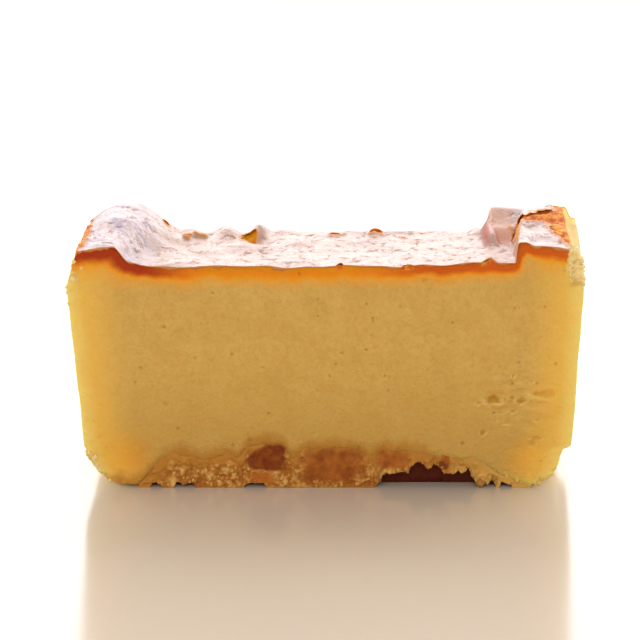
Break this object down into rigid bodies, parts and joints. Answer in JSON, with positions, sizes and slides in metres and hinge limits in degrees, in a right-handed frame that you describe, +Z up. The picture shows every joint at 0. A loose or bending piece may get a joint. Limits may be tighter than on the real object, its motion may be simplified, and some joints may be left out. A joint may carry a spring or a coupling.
{
  "type": "cheesecake slice",
  "caption": "Slice of baked cheesecake cut across a loaf: smooth custard with a browned, rimmed crust on a biscuit crumb base, standing on its base.",
  "frame": {"origin": "under the middle of the slice's bounding box, on the surface it stands on", "axes": "+X along the slice to its right skin seen from the front cut, +Y from the front cut to the back cut, +Z up"},
  "size_m": [0.0854, 0.022, 0.0431],
  "materials": {
    "custard": "smooth baked custard with fine pores, moist and slightly translucent",
    "browned_crust": "glossy, finely wrinkled caramel-brown skin",
    "biscuit_crumb": "dry, grainy pressed biscuit crumb"
  },
  "bodies": {
    "root": {"custard": "custard", "crumb_base": "biscuit_crumb"}
  },
  "joints": []
}
